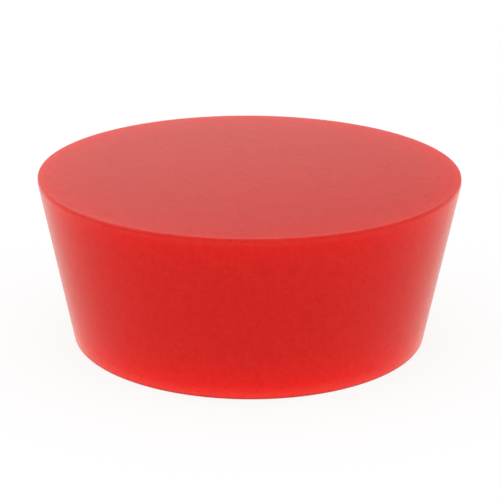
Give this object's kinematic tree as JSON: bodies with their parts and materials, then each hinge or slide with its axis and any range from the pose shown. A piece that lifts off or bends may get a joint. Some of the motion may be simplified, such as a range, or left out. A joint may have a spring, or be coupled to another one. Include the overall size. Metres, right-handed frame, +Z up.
{
  "type": "rubber stopper",
  "caption": "Solid tapered round rubber stopper with flat ends, pushed narrow end first into a flask or tube neck to close it.",
  "frame": {"origin": "middle of the narrow bottom face, which the stopper stands on", "axes": "+Z up along the axis of the taper, from the narrow end to the wide end; X and Y are alike, as the part is a turned form"},
  "size_m": [0.064, 0.0638, 0.0258],
  "materials": {
    "red_rubber": "satin"
  },
  "bodies": {
    "root": {"stopper": "red_rubber"}
  },
  "joints": []
}
